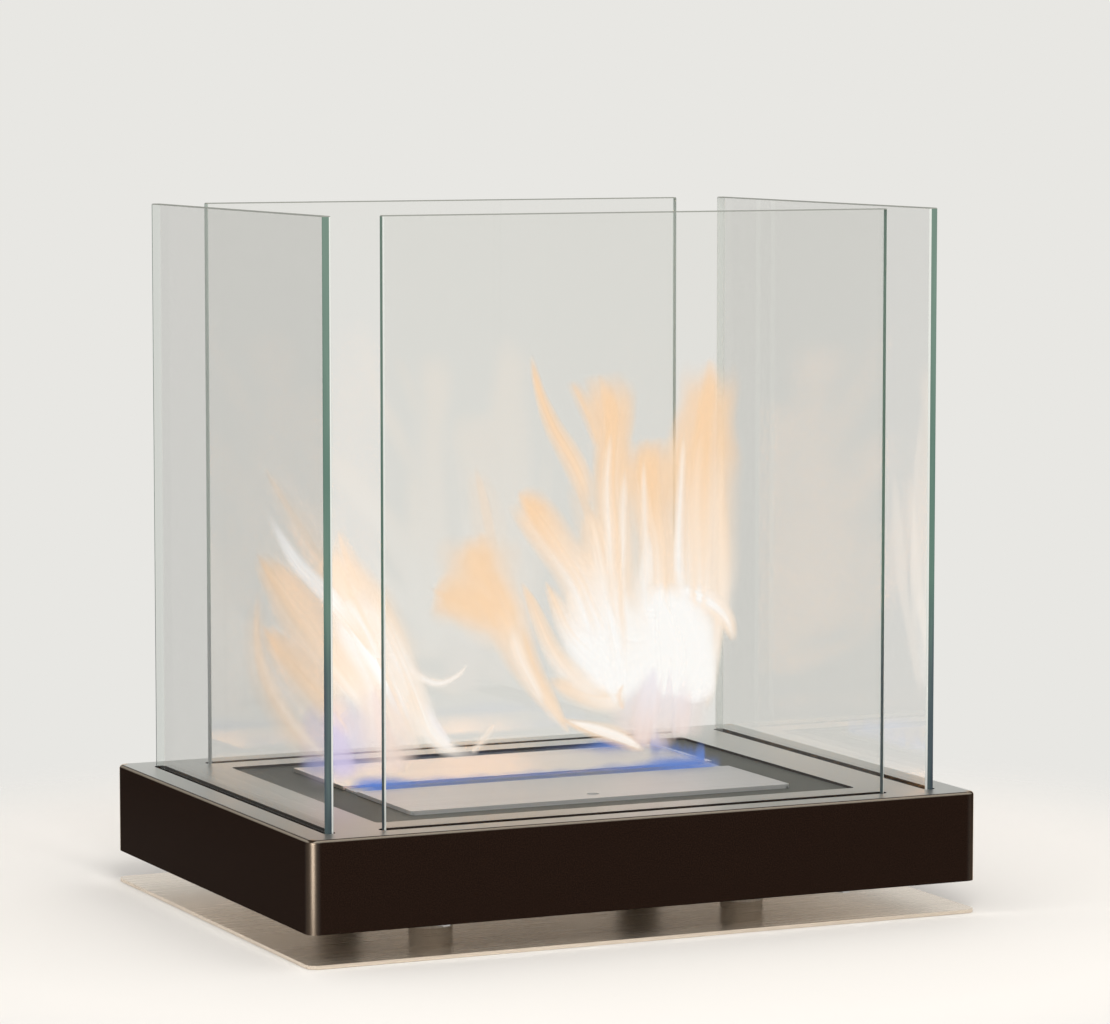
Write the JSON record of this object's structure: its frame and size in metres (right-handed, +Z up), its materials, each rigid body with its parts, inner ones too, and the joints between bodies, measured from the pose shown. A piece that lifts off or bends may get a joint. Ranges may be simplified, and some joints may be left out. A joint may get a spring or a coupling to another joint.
{
  "type": "bioethanol fireplace",
  "caption": "Table-top bioethanol fireplace: low dark steel casing on a brushed plate, open-cornered screen of upright glass panes, and a drop-in slot burner with a sliding shutter.",
  "frame": {"origin": "middle of the base plate's underside", "axes": "+X along the long side to the right, +Y from front to back, +Z up"},
  "size_m": [0.4, 0.3, 0.392],
  "materials": {
    "casing_powder_coat": "satin",
    "frame_heatproof_paint": "matt",
    "inner_black_paint": "matt",
    "underside_steel": "plain",
    "brushed_stainless": "brushed",
    "burner_stainless": "brushed",
    "fastener_steel": "plain",
    "seat_rubber": "matt",
    "pane_glass": "clear",
    "ceramic_fibre": "fibrous"
  },
  "bodies": {
    "base": {"base_plate": "brushed_stainless", "base_studs": "fastener_steel", "spacers": "brushed_stainless", "spacer_nuts": "fastener_steel", "bottom_plate": "underside_steel", "bottom_screws": "fastener_steel", "casing": "casing_powder_coat", "casing_brackets": "underside_steel", "surround_frame": "frame_heatproof_paint", "surround_studs": "fastener_steel", "surround_nuts": "fastener_steel", "front_channel": "inner_black_paint", "back_channel": "inner_black_paint", "left_channel": "inner_black_paint", "right_channel": "inner_black_paint", "front_gasket": "seat_rubber", "back_gasket": "seat_rubber", "left_gasket": "seat_rubber", "right_gasket": "seat_rubber"},
    "burner": {"burner_tank": "burner_stainless", "burner_deck": "burner_stainless", "back_cover": "burner_stainless", "fibre_block": "ceramic_fibre", "flame_screen": "burner_stainless"},
    "shutter": {"shutter": "burner_stainless"},
    "front_pane": {"front_pane": "pane_glass"},
    "back_pane": {"back_pane": "pane_glass"},
    "left_pane": {"left_pane": "pane_glass"},
    "right_pane": {"right_pane": "pane_glass"}
  },
  "joints": [
    {"name": "front_pane_lift", "type": "slide", "parent": "base", "child": "front_pane", "axis": [0, 0, 1], "range_m": [0, 0.045]},
    {"name": "back_pane_lift", "type": "slide", "parent": "base", "child": "back_pane", "axis": [0, 0, 1], "range_m": [0, 0.045]},
    {"name": "left_pane_lift", "type": "slide", "parent": "base", "child": "left_pane", "axis": [0, 0, 1], "range_m": [0, 0.045]},
    {"name": "right_pane_lift", "type": "slide", "parent": "base", "child": "right_pane", "axis": [0, 0, 1], "range_m": [0, 0.045]},
    {"name": "burner_lift", "type": "slide", "parent": "base", "child": "burner", "axis": [0, 0, 1], "range_m": [0, 0.06]},
    {"name": "shutter_slide", "type": "slide", "parent": "burner", "child": "shutter", "axis": [0, 1, 0], "range_m": [0, 0.0207]}
  ]
}
